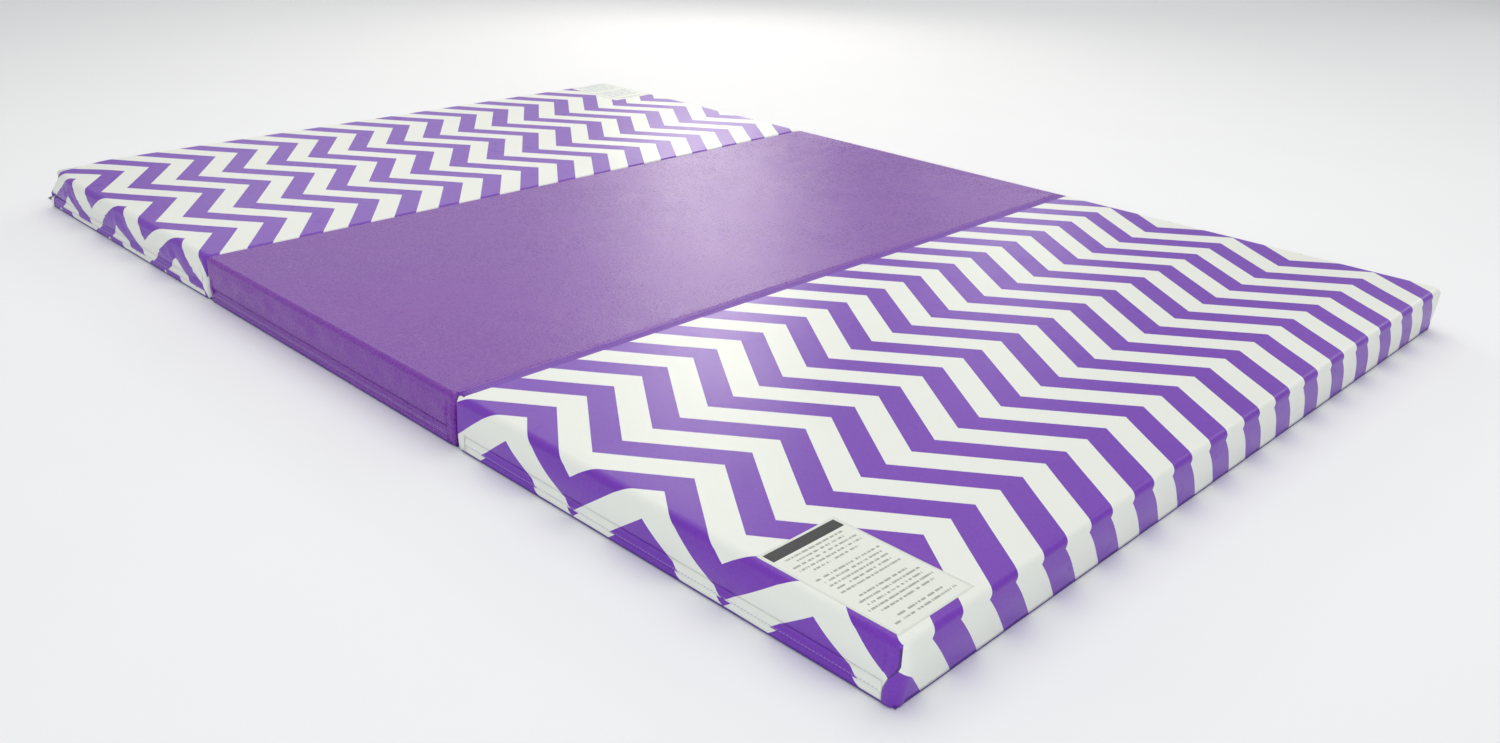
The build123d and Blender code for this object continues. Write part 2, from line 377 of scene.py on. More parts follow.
edge_shape = 0.85          # below 1 the rounded top edges start more squarely
wall_foot = 0.0009         # height of the walls' lower edge
wall_rows = 11
open_bulge = 0.0024        # how far the foam pushes each wall out: above the flap,
closed_bulge = 0.0012      # beside it,
far_bulge = 0.0022         # on the far side
end_bulge = 0.0010         # and at the ends
wall_turn_in = 0.0045      # width of the walls' lower edge, which is turned in under the welt
end_overhang = 0.0045      # how far the wrapped end's top edge stands out beyond its foot
rim_band = (0.024, 0.002, 0.008)     # a fine band along the edges, its steps and the coarse steps
slit = (0.0002, 0.0006)    # columns close together, where the wall is cut beside the hem flap
dart_width = 0.0050        # from the corner to the dart, at the top
dart_spread = 0.0100       # how much further away it runs lower down
dart_lap = 0.0014
print_shift = (0.0075, -0.0080)      # the wrapped end's cloth is pulled on by this much
tuck_reach = 0.11          # the left end's near corner is pulled in, over this reach
tuck_pull = np.array([0.022, 0.010, -0.0015])


def corner_turn(roll):
    """A top corner's radius in plan, from the radius of the end's edge."""
    return max(0.75 * roll, 0.0015)


def cover(panel, low, high, edges, wraps):
    """The cover's points, faces and maps. edges are the top edges' radii on the west, east and
    long sides; wraps names the end, west or east, whose vinyl is folded round its corners."""
    west, east, long_side = edges
    side = 1 if wraps == "east" else -1
    overhang = end_overhang if wraps == "east" else 0.0
    x0, x1 = low.x + west, high.x - east + overhang
    y0, y1 = low.y + long_side, high.y - long_side
    flap_low, flap_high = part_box(f"{panel}_hem_flap")
    slits = [flap_low.x - slit[1], flap_low.x - slit[0], flap_high.x + slit[0], flap_high.x + slit[1]]
    xs = np.unique(np.concatenate([spaced(x0, x1, *rim_band), slits]))
    gx, gy = np.meshgrid(xs, spaced(y0, y1, *rim_band), indexing="ij")
    for cx, sx, roll in ((x0, 1, west), (x1, -1, east)):
        turn = corner_turn(roll)
        for cy, sy in ((y0, 1), (y1, -1)):
            a, b = 1 - (gx - cx) * sx / turn, 1 - (gy - cy) * sy / turn
            inside = (a > 0) & (b > 0)
            a, b = np.where(inside, a, 0), np.where(inside, b, 0)
            gx = np.where(inside, cx + sx * turn * (1 - a * np.sqrt(1 - b * b / 2)), gx)
            gy = np.where(inside, cy + sy * turn * (1 - b * np.sqrt(1 - a * a / 2)), gy)
    nx, ny = gx.shape
    grid = np.arange(nx * ny).reshape(nx, ny)
    top = np.stack([gx.ravel(), gy.ravel(), high.z - top_dip(panel, gx, gy, low, high)], 1)
    tuck = np.zeros(len(top))
    if panel == "left":
        tuck = smooth(1 - np.hypot(top[:, 0] - low.x, top[:, 1] - low.y) / tuck_reach)
    ring = np.concatenate([grid[:-1, 0], grid[-1, :-1], grid[:0:-1, -1], grid[0, :0:-1]])
    px, py = top[ring, 0], top[ring, 1]
    turns = np.where(px < (x0 + x1) / 2, corner_turn(west), corner_turn(east))
    core_x = np.clip(px, x0 + turns, x1 - turns)
    core_y = np.clip(py, y0 + turns, y1 - turns)
    away = np.stack([px - core_x, py - core_y], 1)
    normal = away / np.linalg.norm(away, axis=1)[:, None]
    nx2, ny2 = normal[:, 0] ** 2, normal[:, 1] ** 2
    roll = nx2 * np.where(normal[:, 0] < 0, west, east) + ny2 * long_side
    corner = np.clip(4 * nx2 * ny2, 0, 1)
    near = smooth((-normal[:, 1] - 0.8) / 0.2)
    far = smooth((normal[:, 1] - 0.8) / 0.2)
    end = smooth((np.abs(normal[:, 0]) - 0.8) / 0.2)
    outer = end * (normal[:, 0] * side > 0) if wraps else end * 0
    seam = end - outer
    open_side = (near > 0.5) & (px > flap_low.x - 0.0004) & (px < flap_high.x + 0.0004)
    lowest = np.where(open_side, flap_z, wall_foot)
    full_end = 1.0 if wraps == "east" else 0.1

    rows = [(roll * math.sin(a), roll * (1 - math.cos(a)) ** edge_shape, roll * a)
            for a in np.radians(np.arange(15, 91, 15))]
    for step in range(1, wall_rows + 1):
        f = step / wall_rows
        belly = math.sin(math.pi * f)
        drop = roll + (high.z - roll - lowest) * f
        out = roll.copy()
        out += near * open_side * (open_bulge * math.sin(math.pi * f ** 0.9) - 0.0002 * f)
        out += near * ~open_side * closed_bulge * belly
        out += far * (far_bulge * belly - 0.0015 * smooth((f - 0.85) / 0.15))
        out += outer * (end_bulge * full_end * belly - 0.0012 * smooth((f - 0.86) / 0.14))
        out -= outer * overhang * smooth((f - 0.15) / 0.85)
        out += corner * (-0.0035 * f)
        bend = math.sin(math.pi * min(f * 1.02, 1.0))
        out += near * near_folds(panel, px, drop) * bend
        out += far * near_folds(panel, px + 0.37, drop) * bend
        out += outer * 0.0005 * full_end * swell(py, drop, 0.07, hem_seed[panel] + 5) * bend
        low_lean = 0.0004 + 0.0012 * belly
        top_lean = 0.0004 + 0.0036 * f
        both = np.where(normal[:, 0] < 0, low_lean, top_lean)
        lean = {"left": low_lean, "middle": both, "right": top_lean}[panel]
        out -= seam * (lean + 0.0035 * f * smooth((near_y + 0.055 - py) / 0.05))
        rows.append((out, drop, roll * math.pi / 2 + drop - roll))
    out, drop, run = rows[-1]
    rows.append((out - wall_turn_in, drop - 0.0004, run + wall_turn_in))

    end_x = x1 - turns if wraps == "east" else x0 + turns
    past = np.where((normal[:, 0] * side <= 0.999) & (ny2 > 0.999), np.abs(px - end_x), 0.0)
    angle = np.arcsin(np.clip(np.abs(normal[:, 1]), 0, 1))
    around = turns * angle + past
    wraps_here = (normal[:, 0] * side >= 0) | ((px - (x0 + x1) / 2) * side > 0)
    at_corner = ((ny2 > 0.001) & wraps_here)[:, None]
    rim = np.stack([px, py], 1)
    points = [top + tuck[:, None] * tuck_pull]
    flat, wrapped, net = [top[:, :2]], [top[:, :2]], [top[:, :2]]
    dart = [np.full(len(top), no_dart)]
    for out, drop, run in rows:
        out, drop, run = np.broadcast_arrays(out, drop, run)
        taper = smooth(run / 0.012)
        eased = taper[:, None]
        fold = dart_width + dart_spread * smooth((drop - 0.022) / 0.035) - around
        reach = out
        if wraps:
            reach = out + dart_lap * smooth(fold / 0.0010) * smooth(around / 0.004) * wraps_here * taper
        side_points = np.column_stack([rim + normal * reach[:, None], high.z - drop])
        still = 1 - smooth(drop / ((high.z - low.z) * 0.9))
        points.append(side_points + (tuck[ring] * still)[:, None] * tuck_pull)
        straight = rim + normal * run[:, None]
        net.append(straight)
        side_x = core_x + side * turns * (math.pi / 2 - angle)
        side_y = np.where(py < 0, y0 - run, y1 + run)
        beside = np.stack([np.where(ny2 > 0.999, px, side_x), side_y], 1)
        flat.append(np.where(at_corner, straight * (1 - eased) + beside * eased, straight))
        corner_y = np.where(py < 0, y0 + turns - around, y1 - turns + around)
        end_y = np.where(np.abs(normal[:, 1]) < 0.001, py, corner_y)
        round_end = np.stack([(x1 if side > 0 else x0) + side * run, end_y], 1)
        pull = (taper * (wraps == "east"))[:, None] * print_shift
        wrapped.append(flat[-1] * (1 - eased) + round_end * eased + pull)
        dart.append(np.where(wraps_here, fold, no_dart) if wraps else np.full(len(px), no_dart))
    points, flat, wrapped, net = map(np.concatenate, (points, flat, wrapped, net))
    net = (net - net.min(0)) / (net.max(0) - net.min(0)).max()

    faces = np.stack([grid[:-1, :-1], grid[1:, :-1], grid[1:, 1:], grid[:-1, 1:]], -1).reshape(-1, 4)
    levels = [ring] + [len(top) + len(ring) * k + np.arange(len(ring)) for k in range(len(rows))]
    for upper, lower in zip(levels, levels[1:]):
        wall = np.stack([upper, lower, np.roll(lower, -1), np.roll(upper, -1)], 1)
        faces = np.concatenate([faces, wall])
    return points, faces, flat, wrapped, net, np.concatenate(dart)


printed = vinyl("printed_vinyl", (0.150, 0.019, 0.43), (0.220, 0.044, 0.51), printed=True)
plain = vinyl("plain_vinyl", (0.165, 0.020, 0.345), (0.235, 0.045, 0.41), roughness=0.29, grain=1.7,
              emboss=0.00050, speck=1.0)
cover_edges = {"left": (0.0065, 0.004, 0.009), "middle": (0.004, 0.002, 0.007),
               "right": (0.002, 0.0068, 0.009)}
wrapped_end = {"left": "west", "middle": None, "right": "east"}
panel_vinyl = {"left": printed, "middle": plain, "right": printed}
for panel in ("left", "middle", "right"):
    low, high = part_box(f"{panel}_top_cover")
    points, faces, flat, wrapped, net, dart = cover(panel, low, high, cover_edges[panel],
                                                    wrapped_end[panel])
    maps = {"OFBake": net}
    if panel != "middle":
        maps["cloth"] = print_map(flat, panel)
        maps["wrapped"] = print_map(wrapped, panel)
    piece = mesh_piece(f"{panel}_cover", points, faces.tolist(), panel_vinyl[panel], maps,
                       closed=False)
    attribute = piece.data.attributes.new("dart", "FLOAT", "POINT")
    attribute.data.foreach_set("value", dart.astype(np.float32))
    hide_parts(f"{panel}_top_cover")
    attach(piece, f"{panel}_panel")


# ------------------------------ bottom covers
# A plain vinyl sheet closes each panel from below. A rolled welt joins it to the walls, and on
# the zip side it turns up into a lip of the panel's own vinyl, which the lower zip tape is sewn to.

def skin(rings, closed_row=False):
    """Faces between closed rings of points, given as numbers; the two ends are capped."""
    nxt = np.roll(rings, -1, axis=1)
    if closed_row:
        after, nxt_after = np.roll(rings, -1, axis=0), np.roll(nxt, -1, axis=0)
        return np.stack([rings, nxt, nxt_after, after], -1).reshape(-1, 4).tolist()
    sides = np.stack([rings[:-1], nxt[:-1], nxt[1:], rings[1:]], -1).reshape(-1, 4).tolist()
    return sides + [rings[0].tolist(), rings[-1].tolist()]


def loft(sections, closed_row=False):
    """Points and faces of a band through closed sections of equally many points."""
    sections = np.asarray(sections, float)
    count = sections.shape[0] * sections.shape[1]
    return sections.reshape(-1, 3), skin(np.arange(count).reshape(sections.shape[:2]), closed_row)


def slab(xs, ys, upper, lower):
    """Points and faces of a thin closed sheet between two heights, given at every grid point."""
    gx, gy = np.meshgrid(xs, ys, indexing="ij")
    count = gx.size
    grid = np.arange(count).reshape(gx.shape)
    points = np.concatenate([np.stack([gx.ravel(), gy.ravel(), np.ravel(height)], 1)
                             for height in (upper(gx, gy), lower(gx, gy))])
    face = np.stack([grid[:-1, :-1], grid[1:, :-1], grid[1:, 1:], grid[:-1, 1:]], -1).reshape(-1, 4)
    rim = np.concatenate([grid[:-1, 0], grid[-1, :-1], grid[:0:-1, -1], grid[0, :0:-1]])
    side = np.stack([rim, np.roll(rim, -1), np.roll(rim, -1) + count, rim + count], 1)
    return points, np.concatenate([face, face[:, ::-1] + count, side]).tolist()


def joined(parts):
    """Several (points, faces) as one."""
    points, faces, start = [], [], 0
    for part_points, part_faces in parts:
        points.append(part_points)
        faces += [[start + i for i in face] for face in part_faces]
        start += len(part_points)
    return np.concatenate(points), faces


def welt(low, high, inset, radius, height, turn):
    """A thin round welt along a rectangle with rounded corners."""
    path = []
    for cx, cy, first in ((high.x, high.y, 0), (low.x, high.y, 90), (low.x, low.y, 180),
                          (high.x, low.y, 270)):
        sx, sy = (1 if cx == high.x else -1), (1 if cy == high.y else -1)
        mx = cx - sx * (inset[0 if sx < 0 else 1] + turn)
        my = cy - sy * (inset[2] + turn)
        path += [((mx + turn * math.cos(a), my + turn * math.sin(a)), (math.cos(a), math.sin(a)))
                 for a in np.radians(np.arange(first, first + 91, 15))]
    dense = []
    for (here, out), (there, out_there) in zip(path, path[1:] + path[:1]):
        here, there, out, out_there = map(np.array, (here, there, out, out_there))
        pieces = max(1, round(np.linalg.norm(there - here) / 0.02))
        dense += [(here + (there - here) * k / pieces, out + (out_there - out) * k / pieces)
                  for k in range(pieces)]
    return loft([[(*(spot + out * radius * math.cos(a)), height + radius * math.sin(a))
                  for a in np.radians(np.arange(0, 360, 45))] for spot, out in dense], True)


def cloth_y(z):
    """Where a height on the near wall lies on the flat cloth, along the seams."""
    roll = cover_edges["right"][2]
    return near_y + roll - (roll * math.pi / 2 + (top_z - z) - roll)


def print_maps(flat, panel):
    """The maps of a strip of a panel's own vinyl, which the plain panel has no need of."""
    if panel == "middle":
        return {}
    return {key: print_map(flat, panel) for key in ("cloth", "wrapped")}


def strip(x_low, x_high, outline, wave, step=0.006):
    """A long narrow band along the near wall. outline is its closed section, (y, z) from the wall
    plane; wave moves its points by place. Gives points, faces and places on the flat cloth."""
    xs = np.linspace(x_low, x_high, round((x_high - x_low) / step) + 1)
    outline = np.asarray(outline)
    sections = np.zeros((len(xs), len(outline), 3))
    sections[:, :, 0] = xs[:, None]
    sections[:, :, 1] = near_y + outline[None, :, 0]
    sections[:, :, 2] = outline[None, :, 1]
    move_y, move_z = wave(sections[:, :, 0], sections[:, :, 2])
    sections[:, :, 1] += move_y
    sections[:, :, 2] += move_z
    points, faces = loft(sections)
    return points, faces, np.stack([points[:, 0], cloth_y(points[:, 2])], 1)


lip_line = [(0.0006, 0.0008), (-0.0001, 0.0020), (-0.0005, 0.0035), (-0.0006, 0.0050),
            (-0.0003, 0.0065), (0.0003, 0.0078), (0.0008, 0.0090), (0.0010, 0.0105), (0.0012, 0.0120)]
lip_outline = lip_line + [(y + 0.0008, z) for y, z in lip_line[::-1]]
lip_shift = {"left": (0.05, 0.031), "middle": (0.0, 0.0), "right": (0.0, 0.0061)}
under = vinyl("underside_vinyl", (0.085, 0.026, 0.27), (0.120, 0.045, 0.34), roughness=0.5, grain=2.2,
              emboss=0.00022)
loop_low, loop_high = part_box("loop_strip")
sheet_depth = 0.0006
sheet_end_inset = 0.0008
sheet_side_inset = 0.0012
welt_outer_inset = 0.0024
welt_seam_inset = 0.0013
for panel in ("left", "middle", "right"):
    low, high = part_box(f"{panel}_bottom_cover")
    body_low, body_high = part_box(f"{panel}_top_cover")
    seed = hem_seed[panel] + 60

    def sheet_under(gx, gy):
        edge = np.minimum(np.minimum(gx - low.x, high.x - gx), np.minimum(gy - near_y, far_y - gy))
        slack = 0.00015 * (1 + swell(gx, gy, 0.12, seed)).reshape(gx.shape) * smooth(edge / 0.03)
        loop = smooth((gx - loop_low.x + 0.006) / 0.004) * smooth((loop_high.x + 0.006 - gx) / 0.004)
        return 0.00008 + slack + (0.0007 * loop if panel == "right" else 0)

    xs = spaced(low.x + sheet_end_inset, high.x - sheet_end_inset, 0.072, 0.003, 0.014)
    ys = spaced(near_y + sheet_side_inset, far_y - sheet_side_inset, 0.030, 0.006, 0.016)
    sheet_part = slab(xs, ys, lambda gx, gy: sheet_under(gx, gy) + sheet_depth, sheet_under)
    west_inset = welt_outer_inset if panel == "left" else welt_seam_inset
    east_inset = welt_outer_inset if panel == "right" else welt_seam_inset
    welt_part = welt(body_low, body_high, inset=(west_inset, east_inset, 0.0003),
                     radius=0.0009, height=0.0011, turn=0.010)
    bottom = mesh_piece(f"{panel}_bottom_sheet", *joined([sheet_part, welt_part]), under)
    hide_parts(f"{panel}_bottom_cover")
    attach(bottom, f"{panel}_panel")

    flap_low, flap_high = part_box(f"{panel}_hem_flap")

    def lip_wave(x, z):
        calm = smooth((0.0085 - z) / 0.003)
        return (0.0004 * calm * swell(x, z, 0.05, seed + 1).reshape(x.shape),
                0.0003 * swell(x, z * 0, 0.09, seed + 2).reshape(x.shape) * smooth(z / 0.004))

    points, faces, flat = strip(flap_low.x, flap_high.x, lip_outline, lip_wave)
    maps = print_maps(flat + lip_shift[panel], panel)
    lip = mesh_piece(f"{panel}_zip_lip", points, faces, panel_vinyl[panel], maps)
    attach(lip, f"{panel}_panel")


# ------------------------------ hem flaps
# A strip of the panel's own vinyl hangs from the near wall over the zip. Its lower edge is turned
# under and top-stitched, and the strip tucks in a little where it hangs from the wall.

def bead_faces(count):
    """Faces of alike small beads, each made of four rings of six points and two caps."""
    one = np.array(skin(np.arange(24).reshape(4, 6))[:-2])
    caps = np.array([[0, 1, 2, 3, 4, 5], [18, 19, 20, 21, 22, 23]])
    starts = 24 * np.arange(count)[:, None, None]
    return (one + starts).reshape(-1, 4).tolist() + (caps + starts).reshape(-1, 6).tolist()


def beads(path, pitch, length, side, rise, up=(0, 0, 1)):
    """Points and faces of stitches, one after another on a path. side and rise are half sizes."""
    path = np.asarray(path, float)
    run = np.concatenate([[0], np.cumsum(np.linalg.norm(np.diff(path, axis=0), axis=1))])
    count = int(run[-1] / pitch)
    spots = (np.arange(count) + 0.5) * pitch
    centre = np.stack([np.interp(spots, run, path[:, k]) for k in range(3)], 1)
    ahead = np.stack([np.interp(spots + pitch * 0.4, run, path[:, k]) for k in range(3)], 1) - centre
    ahead /= np.maximum(np.linalg.norm(ahead, axis=1), 1e-9)[:, None]
    up = np.asarray(up, float)
    across = np.cross(np.broadcast_to(up, ahead.shape), ahead)
    across /= np.maximum(np.linalg.norm(across, axis=1), 1e-9)[:, None]
    sections = []
    for along, width in ((-1.0, 0.35), (-0.62, 1.0), (0.62, 1.0), (1.0, 0.35)):
        for a in np.radians(np.arange(0, 360, 60)):
            sections.append(centre + ahead * along * length / 2
                            + across * (side * width * math.cos(a)) + up * (rise * width * math.sin(a)))
    return np.stack(sections, 1).reshape(-1, 3), bead_faces(count)


def thread(name, colour, sheen=0.5):
    made, wire, place = begin(name)
    ply = wire.node("TexWave", {"bands_direction": "DIAGONAL"},
                    {"Vector": place, "Scale": 900.0, "Distortion": 1.0}, "Fac")
    tone = ply.blend(tuple(0.72 * c for c in colour) + (1,), (*colour, 1))
    return shade(made, {"Base Color": tone, "Roughness": ply.fade(0, 1, 0.45, 0.65),
                        "Normal": ply.bump(0.5, 0.0001), "Sheen Weight": sheen})


def sewn(name, rows, material, body):
    made = mesh_piece(name, *joined(rows), material)
    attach(made, body)
    return made


lilac_thread = thread("lilac_thread", (0.50, 0.36, 0.72))
flap_line = [(0.0001, 0.0200), (0.0004, 0.0190), (0.0009, 0.0178), (0.0010, 0.0166), (0.0006, 0.0153),
             (0.0000, 0.0140), (-0.0005, 0.0126), (-0.0007, 0.0112), (-0.0006, 0.0100),
             (-0.0003, 0.0092), (0.0002, 0.0089)]
flap_back = [(0.0006, 0.0092), (0.0007, 0.0102), (0.0006, 0.0118), (0.0006, 0.0128), (0.0008, 0.0141),
             (0.0013, 0.0153), (0.0017, 0.0166), (0.0016, 0.0178), (0.0011, 0.0190), (0.0008, 0.0199)]
hem_rows = {"left": (0.0112,), "middle": (0.0108, 0.0130), "right": (0.0112,)}
for panel in ("left", "middle", "right"):
    low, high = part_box(f"{panel}_hem_flap")
    seed = hem_seed[panel] + 80
    lively = {"left": 1.2, "middle": 1.5, "right": 0.8}[panel]

    def flap_wave(x, z):
        calm = smooth((0.0200 - z) / 0.003)
        tuck = swell(x, z * 0, 0.045, seed).reshape(x.shape)
        ripple = swell(x + z, z, 0.016, seed + 1).reshape(x.shape)
        return (calm * lively * (0.00030 * tuck + 0.00014 * ripple),
                calm * lively * 0.00045 * tuck * smooth((z - 0.0095) / 0.004))

    points, faces, flat = strip(low.x, high.x, flap_line + flap_back, flap_wave, step=0.004)
    maps = print_maps(flat, panel)
    flap = mesh_piece(f"{panel}_flap", points, faces, panel_vinyl[panel], maps)
    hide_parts(f"{panel}_hem_flap")
    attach(flap, f"{panel}_flap")
    rows = []
    for row_z in hem_rows[panel]:
        xs = np.linspace(low.x + 0.002, high.x - 0.002, 120)
        zs = np.full_like(xs, row_z)
        move_y, move_z = flap_wave(xs, zs)
        face_y = np.interp(row_z, [z for _, z in flap_line[::-1]], [y for y, _ in flap_line[::-1]])
        path = np.stack([xs, near_y + face_y + move_y - 0.00005, zs + move_z], 1)
        rows.append(beads(path, pitch=0.0042, length=0.0030, side=0.00028, rise=0.00022,
                          up=(0, -1, 0)))
    sewn(f"{panel}_flap_stitches", rows, lilac_thread, f"{panel}_flap")


# ------------------------------ zips
# Behind each flap runs a coil zip: two woven polyester tapes, a spiral of nylon monofilament sewn
# on each, moulded stops at the ends, and a painted slider with a bridge but no pull tab.

def repaint(node, material):
    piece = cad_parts[node]
    if not piece.material_slots:
        piece.data.materials.append(material)
    for place in piece.material_slots:
        place.material = material


def woven(name, colour, light, pitch, depth, roughness=0.8):
    """A plain weave: two crossing sets of yarns that go over and under each other."""
    made, wire, place = begin(name)
    x = place.part("X") * (math.pi / pitch)
    y = (place.part("Y") + place.part("Z")) * (math.pi / pitch)
    over = (x.math("SINE") * y.math("SINE")) * 0.5 + 0.5
    fuzz = place.mottle(900.0, 3.0)
    cloud = place.mottle(30.0, 3.0)
    tone = (over * 0.55 + fuzz * 0.25 + cloud * 0.3).blend((*colour, 1), (*light, 1))
    bump = (over + fuzz * 0.4).bump(0.8, depth)
    return shade(made, {"Base Color": tone, "Roughness": roughness - 0.1 * over, "Normal": bump,
                        "Sheen Weight": 0.3, "Sheen Roughness": 0.5})


def moulded(name, colour, light, metallic=0.0, roughness=0.4, coat=0.0):
    """Moulded or painted surface with a fine orange peel and rubbed, lighter patches."""
    made, wire, place = begin(name)
    peel = place.mottle(700.0, 2.0)
    rub = place.mottle(160.0, 5.0, distortion=0.8)
    tone = rub.fade(0.52, 0.72).blend((*colour, 1), (*light, 1))
    return shade(made, {"Base Color": tone, "Roughness": roughness + 0.2 * rub, "Metallic": metallic,
                        "Normal": peel.bump(0.3, 0.00008), "Coat Weight": coat})


tape_finish = woven("zip_tape_weave", (0.020, 0.010, 0.045), (0.060, 0.030, 0.115), 0.0007, 0.00015)
nylon_finish = moulded("nylon_coil", (0.030, 0.018, 0.060), (0.075, 0.050, 0.130), roughness=0.35)
stop_finish = moulded("moulded_stop", (0.030, 0.020, 0.055), (0.070, 0.050, 0.110), roughness=0.42)
slider_finish = moulded("painted_slider", (0.045, 0.020, 0.090), (0.160, 0.110, 0.230), metallic=0.35,
                        roughness=0.33, coat=0.3)
tooth_pitch = 0.0020
tooth_gap = 0.00045        # from the coil's middle to a tooth's inner end, so the slider runs free
tooth_width = 0.00062
tooth_depth = 0.00065
for panel in ("left", "middle", "right"):
    for part, finish in (("upper_tape", tape_finish), ("lower_tape", tape_finish),
                         ("stops", stop_finish), ("slider", slider_finish)):
        repaint(f"{panel}_zip_{part}", finish)
    low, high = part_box(f"{panel}_zip_coil")
    middle_y, middle_z = (low.y + high.y) / 2, (low.z + high.z) / 2
    parts = []
    for sign, shift in ((1, 0.0), (-1, 0.5)):
        count = int((high.x - low.x) / tooth_pitch) - 1
        inner = middle_z + sign * tooth_gap
        outer = middle_z + sign * (high.z - low.z) / 2
        xs = low.x + (np.arange(count) + 0.5 + shift) * tooth_pitch
        centres = np.stack([xs, np.full(count, middle_y), np.full(count, (inner + outer) / 2)], 1)
        rings = []
        for level, width in ((-0.5, 0.55), (-0.36, 1.0), (0.36, 1.0), (0.5, 0.7)):
            for a in np.radians(np.arange(0, 360, 60)):
                rings.append(centres + (tooth_width * width * math.cos(a),
                                        tooth_depth * width * math.sin(a), level * (outer - inner)))
        parts.append((np.stack(rings, 1).reshape(-1, 3), bead_faces(count)))
    coil = mesh_piece(f"{panel}_zip_teeth", *joined(parts), nylon_finish)
    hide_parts(f"{panel}_zip_coil")
    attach(coil, f"{panel}_panel")


# ------------------------------ seam webs
# Two strips of reinforced vinyl hinge the panels: one is stitched over the top of the seam between
# the middle and right panels, in ridges, and one under the seam between the left and middle ones.

def band(outline, y_low, y_high, step=0.02, ends=None):
    """A band along the seams. outline is its closed section, (x, z); ends shortens the section
    at the band's two ends, as a function of the distance from the end."""
    ys = np.linspace(y_low, y_high, round((y_high - y_low) / step) + 1)
    if ends is not None:
        near_end = np.array([0.0, 0.0006, 0.0015, 0.003, 0.005])
        ys = np.concatenate([y_low + near_end, ys[1:-1], y_high - near_end[::-1]])
    outline = np.asarray(outline)
    middle = (outline[:, 0].min() + outline[:, 0].max()) / 2
    sections = np.zeros((len(ys), len(outline), 3))
    for row, y in enumerate(ys):
        share = 1.0 if ends is None else ends(min(y - y_low, y_high - y))
        sections[row, :, 0] = middle + (outline[:, 0] - middle) * share
        sections[row, :, 1] = y
        sections[row, :, 2] = outline[:, 1]
    return loft(sections)


web_finish = vinyl("web_vinyl", (0.150, 0.020, 0.38), (0.210, 0.042, 0.46), roughness=0.33, grain=0.9)
ridge_tops = (-0.0034, -0.0006, 0.0026, 0.0060, 0.0088)
ridge_half = 0.0014
web_xs = np.arange(-0.0050, 0.01021, 0.00035)
rise = np.max([1 - (np.abs(web_xs - ridge) / ridge_half) ** 2.5 for ridge in ridge_tops], axis=0)
web_top = top_z - 0.00040 + 0.00062 * np.clip(rise, 0, 1)
web_outline = [(top_seam_x + x, z) for x, z in zip(web_xs, web_top)]
web_outline += [(top_seam_x + x, top_z - 0.00082) for x in web_xs[::-1]]
web_inset = 0.0065
top_web = mesh_piece("top_seam_web", *band(web_outline, near_y + web_inset, far_y - web_inset),
                     web_finish)
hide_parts("top_hinge_middle_leaf", "top_hinge_right_leaf")
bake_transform(top_web)

low_seam_x = (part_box("left_top_cover")[1].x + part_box("middle_top_cover")[0].x) / 2
under_xs = np.concatenate([[-0.0100, -0.0070], np.linspace(-0.0030, 0.0030, 11), [0.0070, 0.0100]])
under_outline = [(low_seam_x + x, 0.00128) for x in under_xs]
under_outline += [(low_seam_x + x, 0.00070) for x in under_xs[::-1]]
under_inset = 0.012
low_web = mesh_piece("bottom_seam_web", *band(under_outline, near_y + under_inset, far_y - under_inset),
                     web_finish)
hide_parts("bottom_hinge_left_leaf", "bottom_hinge_middle_leaf")
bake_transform(low_web)

seam_ys = np.linspace(near_y + 0.009, far_y - 0.009, 200)
for body, places in (("middle_panel", (-0.0034,)), ("right_panel", (0.0026, 0.0060))):
    rows = []
    for place in places:
        path = np.stack([np.full_like(seam_ys, top_seam_x + place), seam_ys,
                         np.full_like(seam_ys, top_z + 0.00018)], 1)
        rows.append(beads(path, pitch=0.0046, length=0.0031, side=0.00030, rise=0.00012))
    sewn(f"top_web_stitches_{body.split('_')[0]}", rows, lilac_thread, body)

low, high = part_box("middle_top_cover")
edge_xs = np.linspace(low.x + 0.012, high.x - 0.010, 160)
edge_ys = np.full_like(edge_xs, near_y + 0.0078)
edge_zs = high.z - top_dip("middle", edge_xs, edge_ys, low, high) + 0.00005
edge_row = beads(np.stack([edge_xs, edge_ys, edge_zs], 1),
                 pitch=0.0046, length=0.0031, side=0.00030, rise=0.00018)
sewn("middle_edge_stitches", [edge_row], lilac_thread, "middle_panel")


# ------------------------------ hook strip and loop strip
# A stiff black webbing strip, sewn along the left end's lower edge, carries hook tape. It slides
# under the next mat and grips the loop tape that is sewn below that mat's right end.

def rounded_end(half, turn):
    """How much of a band's width is left near its ends, where the corners are rounded."""
    return lambda e: 1.0 - (turn - math.sqrt(max(turn ** 2 - max(turn - e, 0) ** 2, 0))) / half


def ribbed(low, high, ribs, height):
    """The section of a tape that has fine ribs on its upper face."""
    xs = np.linspace(low.x, high.x, ribs * 4 + 1)
    teeth = height * (0.5 - 0.5 * np.cos(2 * np.pi * ribs * (xs - low.x) / (high.x - low.x)))
    upper = high.z - height + teeth * smooth((xs - low.x) / 0.002) * smooth((high.x - xs) / 0.002)
    lower = [(high.x - 0.0001, low.z), (low.x + 0.0001, low.z)]
    return list(zip(xs, upper)) + lower


black_webbing = woven("black_webbing", (0.010, 0.010, 0.011), (0.035, 0.035, 0.038), 0.0016, 0.0003)
hook_finish = moulded("nylon_hooks", (0.008, 0.008, 0.009), (0.030, 0.030, 0.033), roughness=0.55)
black_thread = thread("black_thread", (0.03, 0.03, 0.035), sheen=0.3)


